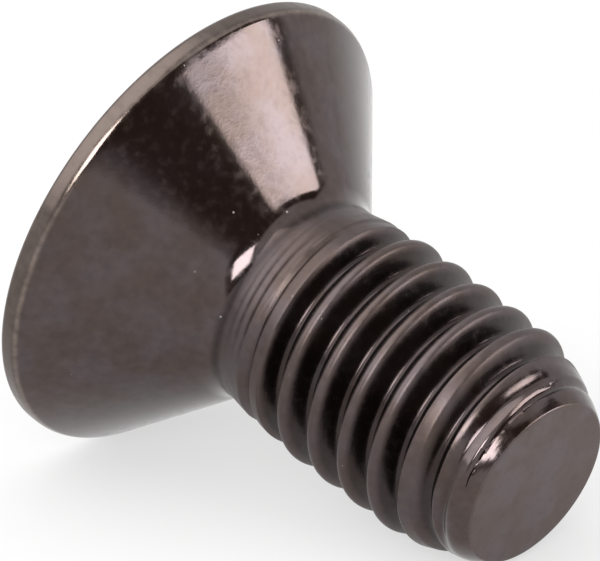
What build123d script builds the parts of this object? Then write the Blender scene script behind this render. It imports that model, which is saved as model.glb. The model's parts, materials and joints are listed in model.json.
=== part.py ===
from build123d import *

import os
from math import atan2, cos, degrees, radians, sin, tan

# Countersunk socket screw, M6 x 12: one cold-formed and thread-rolled piece of steel.
# It is drawn upright along Z, with the head's face at z = 0 and the point at z = length,
# and is then laid on its side, as a loose screw lies, with its point towards +X.
# Lengths are millimetres and angles are degrees.

# Overall
length = 12.05

# Head
head_diameter = 12.0
head_land = 0.42                # straight band round the rim
head_edge_radius = 0.16         # between the flat face and the band
cone_edge_radius = 0.08         # between the band and the cone
cone_angle = 90.0               # included angle of the countersink seat

# Neck, left at the diameter of the blank that the thread is rolled from
neck_depth = 0.27               # of the neck's surface below the full crests
neck_fillet_radius = 0.45
neck_length = 0.5               # from the foot of the cone to the collar
collar_length = 0.65            # swells towards the thread, up to where the grooves start
collar_depth = 0.15             # of its end below the full crests

# Rolled thread, metric coarse, right-hand
thread_diameter = 5.98
thread_pitch = 1.0
thread_angle = 60.0             # between the two flanks of a groove
thread_root_radius = 0.144
crest_sink = 0.04               # depth of the crests below the collar's end, where they come out
crest_rise = 1.25               # length over which the crests grow from there to full height
groove_fade = 0.75              # length over which the grooves fade out into the collar
thread_phase = -6.5             # turns the thread about the screw's axis
root_break = 25.0               # angle, round a root, at which it runs out on the core
crest_break = 20.0              # angle, round a crest, at which its flat top begins

# Point
point_length = 2.0              # taper that the first threads are rolled down on
point_diameter = 4.54
point_edge_radius = 0.3

# Hexagon socket
socket_across_flats = 4.0
socket_depth = 2.5              # straight part of the flats
socket_bottom_angle = 120.0
socket_mouth_diameter = 4.75
socket_mouth_angle = 120.0

# Worked out from the sizes above
head_radius = head_diameter / 2
crest_radius = thread_diameter / 2
neck_radius = crest_radius - neck_depth
collar_radius = crest_radius - collar_depth
cone_foot = head_land + (head_radius - neck_radius) / tan(radians(cone_angle / 2))
collar_start = cone_foot + neck_length
groove_start = collar_start + collar_length

# Basic thread triangle: its sharp tips lie above the crests and below the roots
flank = radians(thread_angle / 2)
triangle_height = thread_pitch / 2 / tan(flank)
triangle_top = crest_radius + triangle_height / 8
triangle_bottom = triangle_top - triangle_height
crest_round = triangle_top - crest_radius
root_centre = triangle_bottom + thread_root_radius / sin(flank)
core_radius = root_centre - thread_root_radius * cos(radians(root_break))

# Overlaps and overruns of the solids that the screw is put together from
overlap = 0.15                  # how far one solid reaches into the next
overrun = 0.6 * thread_pitch    # how far the thread starts before its crests show
foot_reach = 1.3                # the ridge's feet run on, past the core's surface, by this factor

# Lying on its side, it rests on the band of the head and on its last full crests
rest_tilt = degrees(atan2(head_radius - crest_radius, length - point_length - head_land))


def make_head():
    """Head, cone, neck, collar and the taper that the first groove fades out on."""
    outline = FilletPolyline(
        (0, 0),
        (head_radius, 0),
        (head_radius, head_land),
        (neck_radius, cone_foot),
        (neck_radius, collar_start),
        (collar_radius, groove_start),
        (core_radius - overlap, groove_start + groove_fade),
        (0, groove_start + groove_fade),
        radius=(0, head_edge_radius, cone_edge_radius, neck_fillet_radius, 0, 0, 0, 0),
        close=True,
    )
    return revolve(Plane.XZ * make_face(outline), Axis.Z)


def make_ridge_section():
    """One ridge of the thread: a blunt crest, straight flanks and feet that round off the roots."""
    crest_centre = crest_radius - crest_round * cos(radians(crest_break))
    flank_end = 90 - thread_angle / 2

    def on_root(angle):
        turn = radians(angle)
        return Vector(
            root_centre - thread_root_radius * cos(turn),
            thread_pitch / 2 - thread_root_radius * sin(turn),
        )

    def on_crest(angle):
        turn = radians(angle)
        return Vector(crest_centre + crest_round * cos(turn), crest_round * sin(turn))

    flank_foot = on_root(flank_end)
    foot = flank_foot + (on_root(root_break) - flank_foot) * foot_reach
    inside = Vector(core_radius - overlap, foot.Y)
    above = [inside, foot, flank_foot, on_crest(flank_end), on_crest(crest_break)]
    below = [Vector(corner.X, -corner.Y) for corner in reversed(above)]
    return Plane.XZ * make_face(Polyline(*above, *below, close=True))


def make_thread():
    """Core and helical ridge, trimmed where the crests rise at the neck and at the point."""
    ridge_start = collar_start - overrun
    helix = Helix(
        pitch=thread_pitch,
        height=length + thread_pitch - ridge_start,
        radius=crest_radius,
        center=(0, 0, ridge_start),
    )
    ridge = sweep(Pos(0, 0, ridge_start) * make_ridge_section(), path=helix, is_frenet=True)
    core_start = ridge_start - 2 * thread_pitch
    core_end = length + 3 * thread_pitch
    core = Pos(0, 0, core_start) * Cylinder(
        core_radius,
        core_end - core_start,
        align=(Align.CENTER, Align.CENTER, Align.MIN),
    )
    rolled = core + Rot(0, 0, thread_phase) * ridge
    first_radius = collar_radius - crest_sink
    crest_slope = (collar_depth + crest_sink) / crest_rise
    point_slope = (crest_radius - point_diameter / 2) / point_length
    sunk_radius = neck_radius - overlap / 2
    clear_radius = crest_radius + 2 * overlap
    limits = FilletPolyline(
        (0, core_start + thread_pitch),
        (sunk_radius, core_start + thread_pitch),
        (sunk_radius, groove_start + (sunk_radius - first_radius) / crest_slope),
        (clear_radius, groove_start + (clear_radius - first_radius) / crest_slope),
        (clear_radius, length - point_length - (clear_radius - crest_radius) / point_slope),
        (point_diameter / 2, length),
        (0, length),
        radius=(0, 0, 0, 0, 0, point_edge_radius, 0),
        close=True,
    )
    return rolled & revolve(Plane.XZ * make_face(limits), Axis.Z)


def make_socket():
    """The hexagon that the key enters, with a lead-in at the mouth and a conical bottom."""
    corner_radius = socket_across_flats / 2 / cos(radians(30))
    cone_height = corner_radius / tan(radians(socket_bottom_angle / 2))
    flat_drop = (corner_radius - socket_across_flats / 2) / tan(radians(socket_bottom_angle / 2))
    wall_foot = socket_depth - flat_drop
    hexagon = RegularPolygon(radius=socket_across_flats / 2, side_count=6, major_radius=False)
    prism = extrude(hexagon, amount=wall_foot + cone_height)
    punch_outline = Polyline(
        (0, 0),
        (corner_radius, 0),
        (corner_radius, wall_foot),
        (0, wall_foot + cone_height),
        close=True,
    )
    punch = prism & revolve(Plane.XZ * make_face(punch_outline), Axis.Z)
    mouth_radius = socket_mouth_diameter / 2
    mouth_depth = mouth_radius / tan(radians(socket_mouth_angle / 2))
    mouth_outline = Polyline((0, 0), (mouth_radius, 0), (0, mouth_depth), close=True)
    mouth = revolve(Plane.XZ * make_face(mouth_outline), Axis.Z)
    return punch + mouth


def lay_down(screw):
    """Tips the screw over to where it rests, and sets the origin below the middle of its box."""
    tipped = Rot(0, 90 + rest_tilt, 0) * screw
    box = tipped.bounding_box()
    return Pos(-box.center().X, -box.center().Y, -box.min.Z) * tipped


os.makedirs("parts", exist_ok=True)
screw = lay_down(make_head() + make_thread() - make_socket())

export_step(screw, "parts/socket_screw.step")
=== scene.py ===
import json
import math
import bpy
from mathutils import Matrix, Vector


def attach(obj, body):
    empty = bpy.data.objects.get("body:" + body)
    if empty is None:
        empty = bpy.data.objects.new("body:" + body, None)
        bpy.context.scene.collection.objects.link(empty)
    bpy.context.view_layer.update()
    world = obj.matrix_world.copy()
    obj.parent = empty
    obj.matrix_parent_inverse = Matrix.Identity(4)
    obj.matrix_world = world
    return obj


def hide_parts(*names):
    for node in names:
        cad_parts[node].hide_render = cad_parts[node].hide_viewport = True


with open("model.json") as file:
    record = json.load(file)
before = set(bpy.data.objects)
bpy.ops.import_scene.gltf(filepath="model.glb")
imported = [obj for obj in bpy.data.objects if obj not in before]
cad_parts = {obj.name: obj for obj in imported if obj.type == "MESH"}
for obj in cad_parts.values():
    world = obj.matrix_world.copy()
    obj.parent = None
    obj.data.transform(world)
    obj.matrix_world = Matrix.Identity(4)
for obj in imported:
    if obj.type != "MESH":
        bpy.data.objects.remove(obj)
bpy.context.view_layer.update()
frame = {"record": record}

# M6 x 12 countersunk socket screw in black oxide steel, lying on its side.
# Sizes in the dictionaries are millimetres and degrees. The mesh is made in the screw's own
# axes, head down at z = 0 and point up, and is then laid where the frame has the screw.
mm = 0.001

mounts = {mount["name"]: mount for mount in frame["record"]["mounts"]}
tipCentre = Vector(mounts["point_face"]["pos_m"])
screwAxis = Vector(mounts["point_face"]["axis"]).normalized()

# outer skin, from the flat of the head to the point
skin = {
    "length": 12.05,
    "headRadius": 5.998,
    "headLand": 0.475,          # straight band round the rim
    "headEdge": 0.16,
    "coneEdge": 0.3,
    "neckRadius": 2.72,
    "neckFillet": 0.95,
    "neckLength": 0.447,
    "collarLength": 0.65,
    "collarRadius": 2.84,
    "markHeight": 0.013,        # of the faint rolling marks on the collar
    "markPitch": 0.24,
    "markAngle": 237.0,
    "markSpread": 8,            # the higher, the shorter the marks are round the collar
    "markFade": (0.1, 0.15),    # they come up from before to past the collar's start
    "grooveSlope": 0.8,         # how steeply the first groove sinks into the collar
    "crestRadius": 2.99,
    "crestRound": 0.16,
    "crestSink": 0.04,          # depth of the first crests below the collar's end
    "crestRise": 1.25,          # length over which they grow to full height
    "crestLead": 0.6,           # the helix starts this many pitches before the collar
    "pitch": 1.0,
    "rootRound": 0.144,
    "flankAngle": 30.0,
    "phase": -6.5,              # turns the thread about the screw's axis
    "pointLength": 2.0,
    "pointRadius": 2.28,
    "pointRound": 0.5,          # the last of the point, which curves in more steeply
    "pointCurve": 0.8,
    "pointEdge": 0.1,
    "pointShift": 0.07,         # the end stands a little off the screw's axis
    "pointShiftAngle": 320.0,
    "pointShiftFrom": (1.0, 0.4),       # it moves over between these, measured from the end
    "grooveDeeper": 0.25,       # how much deeper the groove is on the point
    "grooveDeeperFrom": (1.2, 0.4),     # and between which places it gets so
    "grooveEnd": 11.85,         # where the helical groove has run out on the point
    "grooveFade": 0.15,
    "ringPlace": 11.32,         # shallow ring left beside it
    "ringDepth": 0.12,
    "ringWidth": 0.17,
    "ringFrom": (160.0, 190.0),         # angles over which the ring comes in
    "ringTo": (290.0, 330.0),           # and goes out
    "blend": 0.07,              # softness where the grooves run out on the collar
    "pointBlend": 0.05,         # and on the point
    "mouthRadius": 2.375,
    "columns": 288,
    "rowsPerPitch": 26,
    "rowsFrom": 0.02,           # the helical rows start this far before the collar
    "rowsTo": 0.17,             # and stop this far before the end
    "rowClearance": 0.35,       # share of a row kept free beside the plain rings
    "sharpAngle": 32.0,         # edges that turn by more than this stay sharp
}

coneFoot = skin["headLand"] + skin["headRadius"] - skin["neckRadius"]
collarStart = coneFoot + skin["neckLength"]
grooveStart = collarStart + skin["collarLength"]
crestAnchor = collarStart - skin["crestLead"] * skin["pitch"]    # a crest passes the phase angle here
pointTaper = (skin["crestRadius"] - skin["pointRadius"]) / skin["pointLength"]


def softMin(a, b, k):
    h = max(0.0, min(1.0, 0.5 + 0.5 * (b - a) / k))
    return b * (1 - h) + a * h - k * h * (1 - h)


def softMax(a, b, k):
    return -softMin(-a, -b, k)


def rising(value, low, high):
    t = max(0.0, min(1.0, (value - low) / (high - low)))
    return t * t * (3 - 2 * t)


def risingToEnd(z, places):
    first, last = places
    return rising(z, skin["length"] - first, skin["length"] - last)


def threadSection(offset):
    # radius of the rolled thread at this distance from the nearest crest
    flank = math.radians(skin["flankAngle"])
    triangleHeight = skin["pitch"] / 2 / math.tan(flank)
    crestCentre = skin["crestRadius"] - skin["crestRound"]
    sharpTop = crestCentre + skin["crestRound"] / math.sin(flank)
    rootCentre = sharpTop - triangleHeight + skin["rootRound"] / math.sin(flank)
    fromCrest = abs(offset)
    fromRoot = skin["pitch"] / 2 - fromCrest
    if fromCrest < skin["crestRound"] * math.cos(flank):
        return crestCentre + math.sqrt(skin["crestRound"] ** 2 - fromCrest ** 2)
    if fromRoot < skin["rootRound"] * math.cos(flank):
        return rootCentre - math.sqrt(skin["rootRound"] ** 2 - fromRoot ** 2)
    return sharpTop - fromCrest / math.tan(flank)


def collarRadius(angle, z):
    # the plain collar with its faint rolling marks, then the slope that the groove fades out on
    swell = (skin["collarRadius"] - skin["neckRadius"]) / skin["collarLength"]
    radius = skin["neckRadius"] + swell * max(0.0, z - collarStart)
    fadeBefore, fadePast = skin["markFade"]
    offMark = angle - math.radians(skin["markAngle"])
    marks = rising(z, collarStart - fadeBefore, collarStart + fadePast)
    marks *= skin["markHeight"] * abs(math.cos(offMark / 2)) ** (4 * skin["markSpread"])
    along = z - skin["pitch"] * angle / (2 * math.pi)
    radius += marks * math.cos(2 * math.pi * along / skin["markPitch"])
    return radius - skin["grooveSlope"] * max(0.0, z - grooveStart)


def pointShift(angle, z):
    off = risingToEnd(z, skin["pointShiftFrom"])
    return skin["pointShift"] * off * math.cos(angle - math.radians(skin["pointShiftAngle"]))


def pointProfile(z):
    over = max(0.0, z - skin["length"] + skin["pointRound"])
    return skin["pointRadius"] + pointTaper * (skin["length"] - z) - skin["pointCurve"] / 2 * over ** 2


def crestEnvelope(angle, z):
    # what the crests reach: they rise from the collar, run level and come down on the point
    rise = (skin["crestRadius"] - skin["collarRadius"] + skin["crestSink"]) / skin["crestRise"]
    start = skin["collarRadius"] - skin["crestSink"] + rise * (z - grooveStart)
    return start, pointProfile(z) + pointShift(angle, z)


def threadRadius(angle, z):
    degrees = math.degrees(angle)
    turn = (degrees - skin["phase"]) / 360
    along = (z - crestAnchor) / skin["pitch"] - turn
    offset = (along - round(along)) * skin["pitch"]
    groove = skin["crestRadius"] - threadSection(offset)
    groove *= 1 + skin["grooveDeeper"] * risingToEnd(z, skin["grooveDeeperFrom"])
    groove *= 1 - rising(z, skin["grooveEnd"] - skin["grooveFade"], skin["grooveEnd"])
    rise, point = crestEnvelope(angle, z)
    radius = softMin(skin["crestRadius"] - groove, rise, skin["blend"])
    radius = softMax(radius, collarRadius(angle, z), skin["blend"])
    ring = rising(degrees, *skin["ringFrom"]) * (1 - rising(degrees, *skin["ringTo"]))
    ring *= skin["ringDepth"] * math.exp(-((z - skin["ringPlace"]) / skin["ringWidth"]) ** 2)
    return softMin(radius, point, skin["pointBlend"]) - ring


def roundedCorner(corner, inward, outward, radius, steps):
    # inward and outward point away from the corner, along the two sides that meet there
    a, b = Vector(inward).normalized(), Vector(outward).normalized()
    half = a.angle(b) / 2
    middle = Vector(corner) + (a + b).normalized() * radius / math.sin(half)
    first = (Vector(corner) + a * radius / math.tan(half) - middle).normalized()
    last = (Vector(corner) + b * radius / math.tan(half) - middle).normalized()
    turns = [first.slerp(last, step / steps) for step in range(steps + 1)]
    return [middle + turn * radius for turn in turns]


def between(start, end, steps):
    return [start.lerp(end, step / steps) for step in range(1, steps)]


def headOutline():
    # (radius, z) from the socket's mouth over the rim and down the cone to the neck
    s = skin
    mouth = Vector((s["mouthRadius"], 0))
    rim = roundedCorner((s["headRadius"], 0), (-1, 0), (0, 1), s["headEdge"], 8)
    edge = roundedCorner((s["headRadius"], s["headLand"]), (0, -1), (-1, 1), s["coneEdge"], 6)
    foot = roundedCorner((s["neckRadius"], coneFoot), (1, -1), (0, 1), s["neckFillet"], 14)
    flat, cone = between(mouth, rim[0], 8), between(edge[-1], foot[0], 24)
    return [mouth] + flat + rim + edge + cone + foot


def pointOutline(start):
    # (radius, z) from the last ring of the thread over the point's edge to its middle
    s = skin
    corner = (pointProfile(s["length"]), s["length"])
    slope = pointTaper + s["pointCurve"] * s["pointRound"]
    edge = roundedCorner(corner, (slope, -1), (-1, 0), s["pointEdge"], 8)
    lastRing = Vector((pointProfile(start), start))
    return [lastRing.lerp(edge[0], 0.5)] + edge + between(edge[-1], Vector((0, s["length"])), 16)


def buildSkin():
    count = skin["columns"]
    verts, faces, depths = [], [], []
    angles = [2 * math.pi * column / count for column in range(count)]

    def addVert(radius, angle, z, depth=0.0):
        verts.append((radius * math.cos(angle), radius * math.sin(angle), z))
        depths.append(depth)
        return len(verts) - 1

    def addThreadVert(angle, z):
        radius = threadRadius(angle, z)
        depth = min(skin["crestRadius"], *crestEnvelope(angle, z)) - radius
        return addVert(radius, angle, z, max(0.0, depth))

    def join(lower, upper):
        for column in range(count):
            after = (column + 1) % count
            faces.append((lower[column], lower[after], upper[after], upper[column]))

    rings = [[addVert(point.x, angle, point.y) for angle in angles] for point in headOutline()]
    for lower, upper in zip(rings, rings[1:]):
        join(lower, upper)

    # the thread: rows that follow the helix, from one plain ring to another
    start, end = collarStart - skin["rowsFrom"], skin["length"] - skin["rowsTo"]
    startRing = [addThreadVert(angle, start) for angle in angles]
    endRing = [addThreadVert(angle, end) for angle in angles]
    join(rings[-1], startRing)
    rowStep = skin["pitch"] / skin["rowsPerPitch"]
    columns = []
    for column, angle in enumerate(angles):
        base = crestAnchor + (math.degrees(angle) - skin["phase"]) / 360 * skin["pitch"]
        first = math.ceil((start - base) / rowStep + skin["rowClearance"])
        last = math.floor((end - base) / rowStep - skin["rowClearance"])
        listed = [(-math.inf, startRing[column])]
        for row in range(first, last + 1):
            listed.append((row, addThreadVert(angle, base + row * rowStep)))
        columns.append(listed + [(math.inf, endRing[column])])

    # neighbouring columns are joined row by row, with triangles where one has a row more
    for column in range(count):
        left, right = columns[column], columns[(column + 1) % count]
        shift = skin["rowsPerPitch"] if column == count - 1 else 0     # the helix is a turn further on
        i = j = 0
        while i < len(left) - 1 or j < len(right) - 1:
            nextLeft = left[i + 1][0] if i < len(left) - 1 else None
            nextRight = right[j + 1][0] - shift if j < len(right) - 1 else None
            if nextLeft is not None and nextLeft == nextRight:
                faces.append((left[i][1], right[j][1], right[j + 1][1], left[i + 1][1]))
                i, j = i + 1, j + 1
            elif nextRight is None or (nextLeft is not None and nextLeft < nextRight):
                faces.append((left[i][1], right[j][1], left[i + 1][1]))
                i += 1
            else:
                faces.append((left[i][1], right[j][1], right[j + 1][1]))
                j += 1

    previous = endRing
    for point in pointOutline(end):
        share = min(1.0, point.x / pointProfile(skin["length"]))
        current = [addVert(point.x + pointShift(a, point.y) * share, a, point.y) for a in angles]
        join(previous, current)
        previous = current
    middle = addVert(0, 0, skin["length"])
    for column in range(count):
        faces.append((previous[column], previous[(column + 1) % count], middle))
    return verts, faces, depths, rings[0]


# hexagon socket in the flat of the head
socket = {
    "acrossFlats": 4.0,
    "depth": 2.5,
    "bottomSlope": 60.0,        # from the screw's axis
    "mouthSlope": 60.0,
    "wallRows": 8,
    "bottomRows": 8,
}


def addSocket(verts, faces, mouth):
    # lead-in, hexagonal wall and conical bottom, row by row down from the mouth
    count = skin["columns"]
    angles = [2 * math.pi * column / count for column in range(count)]
    apothem = socket["acrossFlats"] / 2
    corner = apothem / math.cos(math.pi / 6)
    slope = math.tan(math.radians(socket["bottomSlope"]))
    mouthSlope = math.tan(math.radians(socket["mouthSlope"]))
    wallFoot = socket["depth"] - (corner - apothem) / slope

    def hexRadius(angle):
        fromCorner = (angle + math.pi / 6) % (math.pi / 3) - math.pi / 6
        return apothem / math.cos(math.pi / 6 - abs(fromCorner))

    radii = [hexRadius(angle) for angle in angles]
    levels = []
    for row in range(socket["wallRows"] + 1):
        t = row / socket["wallRows"]
        level = []
        for r in radii:
            top = (skin["mouthRadius"] - r) / mouthSlope
            foot = wallFoot + (corner - r) / slope
            level.append((r, top + (foot - top) * t))
        levels.append(level)
    for row in range(1, socket["bottomRows"]):
        t = 1 - row / socket["bottomRows"]
        levels.append([(r * t, wallFoot + (corner - r * t) / slope) for r in radii])
    previous = mouth
    for level in levels:
        current = []
        for angle, (r, z) in zip(angles, level):
            current.append(len(verts))
            verts.append((r * math.cos(angle), r * math.sin(angle), z))
        for column in range(count):
            after = (column + 1) % count
            faces.append((previous[after], previous[column], current[column], current[after]))
        previous = current
    middle = len(verts)
    verts.append((0, 0, wallFoot + corner / slope))
    for column in range(count):
        faces.append((previous[(column + 1) % count], previous[column], middle))


def layInFrame(mesh):
    side = Vector((0, 1, 0))
    down = side.cross(screwAxis)
    origin = tipCentre - screwAxis * skin["length"] * mm
    turn = Matrix((down, side, screwAxis)).transposed().to_4x4()
    mesh.transform(Matrix.Translation(origin) @ turn @ Matrix.Scale(mm, 4))


print("screw: building the skin")
verts, faces, depths, mouth = buildSkin()
addSocket(verts, faces, mouth)
depths += [0.0] * (len(verts) - len(depths))
mesh = bpy.data.meshes.new("screw_body")
mesh.from_pydata(verts, [], [tuple(reversed(face)) for face in faces])
# the finish follows the screw's own axes, so they stay with the mesh, in millimetres
axesData = mesh.attributes.new("screwAxes", "FLOAT_VECTOR", "POINT").data
axesData.foreach_set("vector", [value for vert in verts for value in vert])
mesh.attributes.new("grooveDepth", "FLOAT", "POINT").data.foreach_set("value", depths)
layInFrame(mesh)
mesh.validate()
mesh.update()
screw = bpy.data.objects.new("screw_body", mesh)
bpy.context.scene.collection.objects.link(screw)
mesh.shade_smooth()
mesh.set_sharp_from_angle(angle=math.radians(skin["sharpAngle"]))
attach(screw, "root")
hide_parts("socket_screw")
print("screw: faces", len(mesh.polygons))


def addNode(tree, kind, inputs=(), **settings):
    # inputs are sockets by name or number, each a value or another node's output
    node = tree.nodes.new(kind)
    for key, value in settings.items():
        setattr(node, key, value)
    for key, value in dict(inputs).items():
        if isinstance(value, bpy.types.NodeSocket):
            tree.links.new(value, node.inputs[key])
        else:
            node.inputs[key].default_value = value
    return node


def addMath(tree, operation, *values):
    return addNode(tree, "ShaderNodeMath", enumerate(values), operation=operation).outputs[0]


def addDistance(tree, value, place):
    return addMath(tree, "ABSOLUTE", addMath(tree, "SUBTRACT", value, place))


def addVectorMath(tree, operation, *vectors):
    return addNode(tree, "ShaderNodeVectorMath", enumerate(vectors), operation=operation).outputs


def addRange(tree, value, low, high, toLow=0.0, toHigh=1.0, smooth=True):
    kind = "SMOOTHSTEP" if smooth else "LINEAR"
    inputs = {"Value": value, "From Min": low, "From Max": high, "To Min": toLow, "To Max": toHigh}
    return addNode(tree, "ShaderNodeMapRange", inputs, interpolation_type=kind).outputs[0]


def addNoise(tree, place, noise):
    inputs = {"Vector": place, "Scale": noise["scale"], "Detail": noise["detail"]}
    return addNode(tree, "ShaderNodeTexNoise", inputs).outputs[0]


def addBlend(tree, factor, first, second):
    # of two values
    return addNode(tree, "ShaderNodeMix", {0: factor, 2: first, 3: second}).outputs[0]


def addMix(tree, factor, first, second):
    # of two colours
    inputs = {0: factor, 6: first, 7: second}
    return addNode(tree, "ShaderNodeMix", inputs, data_type="RGBA").outputs[2]


# black oxide: a brown-black skin that mirrors softly on the cone and more dully on the thread
oxide = {
    # colours
    "brown": (0.086, 0.065, 0.059, 1),
    "purple": (0.096, 0.077, 0.078, 1),
    # painted reflection: the rim band is painted paler than the oxide
    "rim": (0.112, 0.089, 0.079, 1),
    "wearAndSheen": (0.24, 0.19, 0.165, 1),     # along the rim's edge: wear and a painted highlight
    "dust": (0.34, 0.30, 0.27, 1),
    "toneRange": (0.35, 0.65),  # of the broad noise, from brown to purple
    "blotchRange": (0.3, 0.7),  # of the blotches, from darker to paler
    "blotchShades": (0.88, 1.1),
    "paintedGrooveShade": 0.5,         # painted shade: how much darker the grooves are
    "endShade": 1.35,           # and how much paler the end is
    "paintedNeckShade": 0.5,          # painted shade, darker in the corner of the neck
    # roughness
    "headRoughness": 0.13,
    "rimRoughness": 0.33,
    "crestRoughness": 0.42,
    "grooveRoughness": 0.24,
    "pointRoughness": 0.15,
    "endRoughness": 0.38,
    "patchRange": (0.45, 0.7),  # of the blotches, from smoother to rougher
    "patchRoughness": (-0.02, 0.07),
    "dustRoughness": 0.4,
    # places: millimetres before the collar, or from the end, where each begins and is full
    "grooveDepths": (0.04, 0.22),
    "threadFrom": (0.3, 0.1),
    "pointFrom": (1.2, 0.8),
    "endFrom": (0.06, 0.01),
    # where the painted shade in the neck's corner lies, and how wide it is
    "paintedNeckShadePlace": 0.2,
    "paintedNeckShadeWidth": 0.22,
    # the rim: how far its paler colour, a painted reflection, and its roughness reach past the band, and
    # from the head's edge inwards
    "rimFade": (0.10, -0.12),
    "rimDepths": (0.3, 0.15),
    "rimBlotches": (0.2, 0.5),
    "rimCover": (0.7, 1.0),
    "wearAndSheenPlace": 0.02,          # past the band, for the pale edge line of wear and painted highlight
    "wearAndSheenWidth": 0.09,
    # noise, by its scale for each millimetre
    "rollingStretch": (0.35, 0.35, 9.0),
    "rollingNoise": {"scale": 1.0, "detail": 3.0},
    "broadNoise": {"scale": 0.9, "detail": 3.0},
    "blotchNoise": {"scale": 4.0, "detail": 4.0},
    "grainNoise": {"scale": 16.0, "detail": 3.0},
    # heights
    "unevenness": 0.0006,
    "grain": 0.0004,
    "rolling": 0.004,           # rolling marks round the thread
    # specks of dust
    "dotScale": 2.2,
    "dotRange": (0.7, 1.0),     # of the cells' random numbers: the rest have no speck
    "dotReach": 0.1,
    "dotEdge": 0.06,
    "dustCover": 0.7,
}

print("screw: black oxide")
material = bpy.data.materials.new("black_oxide")
material.use_nodes = True
skinTree = material.node_tree
shader = skinTree.nodes["Principled BSDF"]
axes = addNode(skinTree, "ShaderNodeAttribute", attribute_name="screwAxes").outputs["Vector"]
grooveDepth = addNode(skinTree, "ShaderNodeAttribute", attribute_name="grooveDepth").outputs["Fac"]
alongScrew = addNode(skinTree, "ShaderNodeSeparateXYZ", {0: axes}).outputs[2]


def fromEnd(places):
    return addRange(skinTree, alongScrew, skin["length"] - places[0], skin["length"] - places[1])


# where each part of the finish shows
inGroove = addRange(skinTree, grooveDepth, *oxide["grooveDepths"])
threadBegins, threadFull = oxide["threadFrom"]
onThread = addRange(skinTree, alongScrew, collarStart - threadBegins, collarStart - threadFull)
onPoint = fromEnd(oxide["pointFrom"])
onEnd = fromEnd(oxide["endFrom"])
# painted shade: distance from the neck's corner, where the colour is darkened
fromPaintedNeckShade = addDistance(skinTree, alongScrew, collarStart - oxide["paintedNeckShadePlace"])

# noise and specks
stretch = {"Vector": axes, "Scale": oxide["rollingStretch"]}
stretched = addNode(skinTree, "ShaderNodeMapping", stretch).outputs[0]
rolling = addNoise(skinTree, stretched, oxide["rollingNoise"])
broad = addNoise(skinTree, axes, oxide["broadNoise"])
blotches = addNoise(skinTree, axes, oxide["blotchNoise"])
grain = addNoise(skinTree, axes, oxide["grainNoise"])
dots = addNode(skinTree, "ShaderNodeTexVoronoi", {"Vector": axes, "Scale": oxide["dotScale"]})
picked = addNode(skinTree, "ShaderNodeSeparateColor", {0: dots.outputs["Color"]}).outputs[0]
dotReach = addRange(skinTree, picked, *oxide["dotRange"], 0.0, oxide["dotReach"], smooth=False)
dotDepth = addMath(skinTree, "SUBTRACT", dotReach, dots.outputs["Distance"])
dustShare = addRange(skinTree, dotDepth, 0.0, oxide["dotEdge"], 0.0, oxide["dustCover"])

# the rim, painted paler as a painted reflection, and a pale line along its edge towards the cone, wear and
# a painted highlight
flatAxes = addVectorMath(skinTree, "MULTIPLY", axes, (1, 1, 0))["Vector"]
fromAxis = addVectorMath(skinTree, "LENGTH", flatAxes)["Value"]
rimInner, rimOuter = (skin["headRadius"] - depth for depth in oxide["rimDepths"])
outside = addRange(skinTree, fromAxis, rimInner, rimOuter)
rimEnd, rimFull = (skin["headLand"] + fade for fade in oxide["rimFade"])
onBand = addMath(skinTree, "MULTIPLY", outside, addRange(skinTree, alongScrew, rimEnd, rimFull))
rimCover = addRange(skinTree, blotches, *oxide["rimBlotches"], *oxide["rimCover"], smooth=False)
onRim = addMath(skinTree, "MULTIPLY", onBand, rimCover)
# wear and a painted highlight: a pale line along the rim's edge
fromEdge = addDistance(skinTree, alongScrew, skin["headLand"] + oxide["wearAndSheenPlace"])
wearAndSheenLine = addRange(skinTree, fromEdge, oxide["wearAndSheenWidth"], 0.0)
onEdge = addMath(skinTree, "MULTIPLY", addMath(skinTree, "MULTIPLY", wearAndSheenLine, blotches), outside)

tone = addRange(skinTree, broad, *oxide["toneRange"])
base = addMix(skinTree, tone, oxide["brown"], oxide["purple"])
# painted reflection: the rim band paler
base = addMix(skinTree, onRim, base, oxide["rim"])
# wear and a painted highlight along the rim's edge
base = addMix(skinTree, onEdge, base, oxide["wearAndSheen"])
shade = addRange(skinTree, blotches, *oxide["blotchRange"], *oxide["blotchShades"], smooth=False)
# painted shade: the colour darkens in the grooves
paintedGrooveShadeFactor = addRange(skinTree, inGroove, 0, 1, 1.0, oxide["paintedGrooveShade"], smooth=False)
ended = addRange(skinTree, onEnd, 0, 1, 1.0, oxide["endShade"], smooth=False)
# painted shade: the colour darkens in the corner of the neck
paintedNeckShadeFactor = addRange(skinTree, fromPaintedNeckShade, 0.0, oxide["paintedNeckShadeWidth"], oxide["paintedNeckShade"], 1.0)
for factor in (paintedGrooveShadeFactor, ended, paintedNeckShadeFactor):
    shade = addMath(skinTree, "MULTIPLY", shade, factor)
shaded = addNode(skinTree, "ShaderNodeVectorMath", {0: base, 3: shade}, operation="SCALE").outputs[0]
skinTree.links.new(addMix(skinTree, dustShare, shaded, oxide["dust"]), shader.inputs["Base Color"])
skinTree.links.new(addMath(skinTree, "SUBTRACT", 1.0, dustShare), shader.inputs["Metallic"])

rough = addRange(skinTree, inGroove, 0, 1, oxide["crestRoughness"], oxide["grooveRoughness"], smooth=False)
rough = addBlend(skinTree, onThread, oxide["headRoughness"], rough)
rough = addBlend(skinTree, onPoint, rough, oxide["pointRoughness"])
rough = addBlend(skinTree, onEnd, rough, oxide["endRoughness"])
rough = addBlend(skinTree, onRim, rough, oxide["rimRoughness"])
patchy = addRange(skinTree, blotches, *oxide["patchRange"], *oxide["patchRoughness"])
dusty = addMath(skinTree, "MULTIPLY", dustShare, oxide["dustRoughness"])
rough = addMath(skinTree, "ADD", addMath(skinTree, "ADD", rough, patchy), dusty)
skinTree.links.new(rough, shader.inputs["Roughness"])

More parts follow.
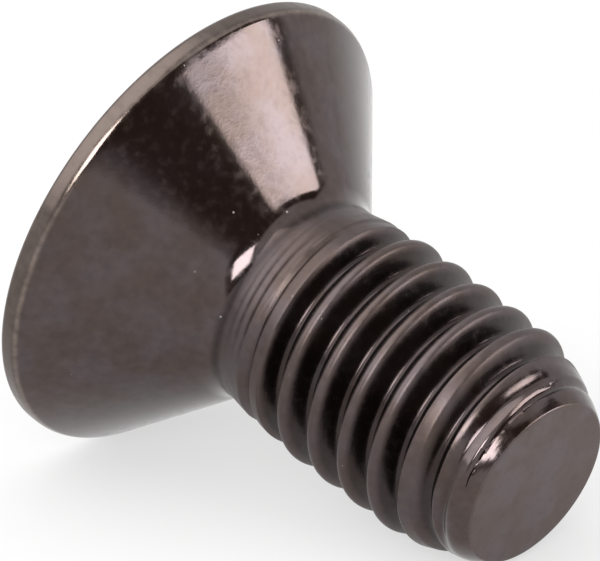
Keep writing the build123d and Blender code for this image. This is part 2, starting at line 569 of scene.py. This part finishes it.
wavy = addMath(skinTree, "MULTIPLY", blotches, oxide["unevenness"])
grainy = addMath(skinTree, "MULTIPLY", grain, oxide["grain"])
rolled = addMath(skinTree, "MULTIPLY", addMath(skinTree, "MULTIPLY", rolling, onThread), oxide["rolling"])
relief = addMath(skinTree, "ADD", addMath(skinTree, "ADD", wavy, grainy), rolled)
bump = addNode(skinTree, "ShaderNodeBump", {"Strength": 1.0, "Distance": mm, "Height": relief})
skinTree.links.new(bump.outputs[0], shader.inputs["Normal"])
mesh.materials.append(material)


view = {
    "lens": 1000.0,
    "sensor": 36.0,
    "azimuth": 42.71,
    "elevation": 22.4,
    "pixelsPerMm": 42.19,
    "middlePixel": (357.5, 347.1),      # the middle of the screw's axis, in the frame below
    "imageSize": (600, 561),
    "clip": (0.01, 10.0),               # metres
}

print("camera")
azimuth, elevation = math.radians(view["azimuth"]), math.radians(view["elevation"])
forward = Vector((
    -math.sin(azimuth) * math.cos(elevation),
    math.cos(azimuth) * math.cos(elevation),
    -math.sin(elevation),
))
right = forward.cross(Vector((0, 0, 1))).normalized()
up = right.cross(forward)
imageWidth, imageHeight = view["imageSize"]
pixel = mm / view["pixelsPerMm"]
distance = view["lens"] / view["sensor"] * imageWidth * pixel
screwMiddle = tipCentre - screwAxis * skin["length"] / 2 * mm
aim = screwMiddle + right * (imageWidth / 2 - view["middlePixel"][0]) * pixel
aim += up * (view["middlePixel"][1] - imageHeight / 2) * pixel
cameraData = bpy.data.cameras.new("camera")
cameraData.lens = view["lens"]
cameraData.sensor_width = view["sensor"]
cameraData.clip_start, cameraData.clip_end = view["clip"]
camera = bpy.data.objects.new("camera", cameraData)
bpy.context.scene.collection.objects.link(camera)
camera.location = aim - forward * distance
camera.rotation_euler = Matrix((right, up, -forward)).transposed().to_euler()
bpy.context.scene.camera = camera


def direction(degreesRight, degreesUp):
    # seen from the screw, turned to the right from the camera's side
    a, e = math.radians(degreesRight), math.radians(degreesUp)
    back = -Vector((forward.x, forward.y, 0)).normalized()
    flat = back * math.cos(a) + right * math.sin(a)
    return flat * math.cos(e) + Vector((0, 0, math.sin(e)))


# soft boxes, by where they stand, in degrees, and by distance and size, in metres
lamps = {
    "strip": {"at": (80.5, 16), "far": 0.5, "size": (0.37, 0.13), "radiance": 7.5},
    "above": {"at": (-80, 58), "far": 0.6, "size": (0.8, 1.0), "radiance": 2.0},
    "front": {"at": (-5, 25), "far": 0.5, "size": (0.24, 0.24), "radiance": 11.0},
}

print("studio: soft boxes")
for name, lamp in lamps.items():
    lightData = bpy.data.lights.new(name, "AREA")
    lightData.shape = "RECTANGLE"
    lightData.size, lightData.size_y = lamp["size"]
    lightData.energy = lamp["radiance"] * lamp["size"][0] * lamp["size"][1] * math.pi
    light = bpy.data.objects.new(name, lightData)
    bpy.context.scene.collection.objects.link(light)
    towards = direction(*lamp["at"])
    light.location = screwMiddle + towards * lamp["far"]
    light.rotation_euler = (-towards).to_track_quat("-Z", "Y").to_euler()

# white paper that takes the screw's shadow: its glow shows to the camera and in the steel only
floorPaper = {"reach": 2.0, "glow": 0.60, "paper": 0.22}

print("studio: floor")
reach = floorPaper["reach"]
corners = [(-reach, -reach, 0), (reach, -reach, 0), (reach, reach, 0), (-reach, reach, 0)]
floorMesh = bpy.data.meshes.new("floor")
floorMesh.from_pydata(corners, [], [(0, 1, 2, 3)])
floor = bpy.data.objects.new("floor", floorMesh)
bpy.context.scene.collection.objects.link(floor)
paper = bpy.data.materials.new("paper")
paper.use_nodes = True
paperTree = paper.node_tree
paperTree.nodes.clear()
gray = floorPaper["paper"]
lit = addNode(paperTree, "ShaderNodeBsdfDiffuse", {"Color": (gray, gray, gray, 1)}).outputs[0]
rays = addNode(paperTree, "ShaderNodeLightPath").outputs
seenOrMirrored = addMath(paperTree, "MAXIMUM", rays["Is Camera Ray"], rays["Is Glossy Ray"])
seenOrMirrored = addMath(paperTree, "MAXIMUM", seenOrMirrored, rays["Is Transmission Ray"])
strength = addMath(paperTree, "MULTIPLY", seenOrMirrored, floorPaper["glow"])
glow = addNode(paperTree, "ShaderNodeEmission", {"Strength": strength}).outputs[0]
both = addNode(paperTree, "ShaderNodeAddShader", {0: lit, 1: glow}).outputs[0]
addNode(paperTree, "ShaderNodeOutputMaterial", {0: both})
floorMesh.materials.append(paper)

# the room: white, with a dim side beyond the camera and a dim gap past the strip
room = {
    "white": (1.05, 1.05, 1.05, 1),
    "dim": (0.17, 0.13, 0.115, 1),
    "seen": (1, 1, 1, 1),                                   # by the camera
    "dimSides": ((13.0, 48.0, 42.0), (86.0, 21.5, 38.0)),   # middle, half width, height: degrees
    "edge": 3.0,                                            # softness of their edges
    "haze": 8.0,                                            # up to here they darken from the floor
    "hazeShare": 0.45,                                      # how dim they are at the floor
}

print("studio: room")
world = bpy.data.worlds.new("studio")
bpy.context.scene.world = world
world.use_nodes = True
skyTree = world.node_tree
background = skyTree.nodes["Background"]
skyWay = addNode(skyTree, "ShaderNodeTexCoord").outputs["Generated"]
skyZ = addNode(skyTree, "ShaderNodeSeparateXYZ", {0: skyWay}).outputs[2]
skyUp = addMath(skyTree, "DEGREES", addMath(skyTree, "ARCSINE", skyZ))
overFloor = addRange(skyTree, skyUp, 0.0, room["haze"], room["hazeShare"], 1.0)
edge = room["edge"]
dimShare = 0.0
for middle, halfWidth, top in room["dimSides"]:
    facing = direction(middle, 0)
    across = Vector((0, 0, 1)).cross(facing)
    ahead = addVectorMath(skyTree, "DOT_PRODUCT", skyWay, facing)["Value"]
    aside = addVectorMath(skyTree, "DOT_PRODUCT", skyWay, across)["Value"]
    turned = addMath(skyTree, "DEGREES", addMath(skyTree, "ARCTAN2", aside, ahead))
    turned = addMath(skyTree, "ABSOLUTE", turned)
    inWidth = addRange(skyTree, turned, halfWidth - edge, halfWidth + edge, 1.0, 0.0)
    inHeight = addRange(skyTree, skyUp, top - edge, top + edge, 1.0, 0.0)
    inside = addMath(skyTree, "MULTIPLY", inWidth, addMath(skyTree, "MULTIPLY", inHeight, overFloor))
    dimShare = addMath(skyTree, "MAXIMUM", dimShare, inside)
dimmed = addMix(skyTree, dimShare, room["white"], room["dim"])
toCamera = addNode(skyTree, "ShaderNodeLightPath").outputs["Is Camera Ray"]
skyTree.links.new(addMix(skyTree, toCamera, dimmed, room["seen"]), background.inputs["Color"])
background.inputs["Strength"].default_value = 1.0

bpy.context.scene.view_settings.view_transform = "Standard"
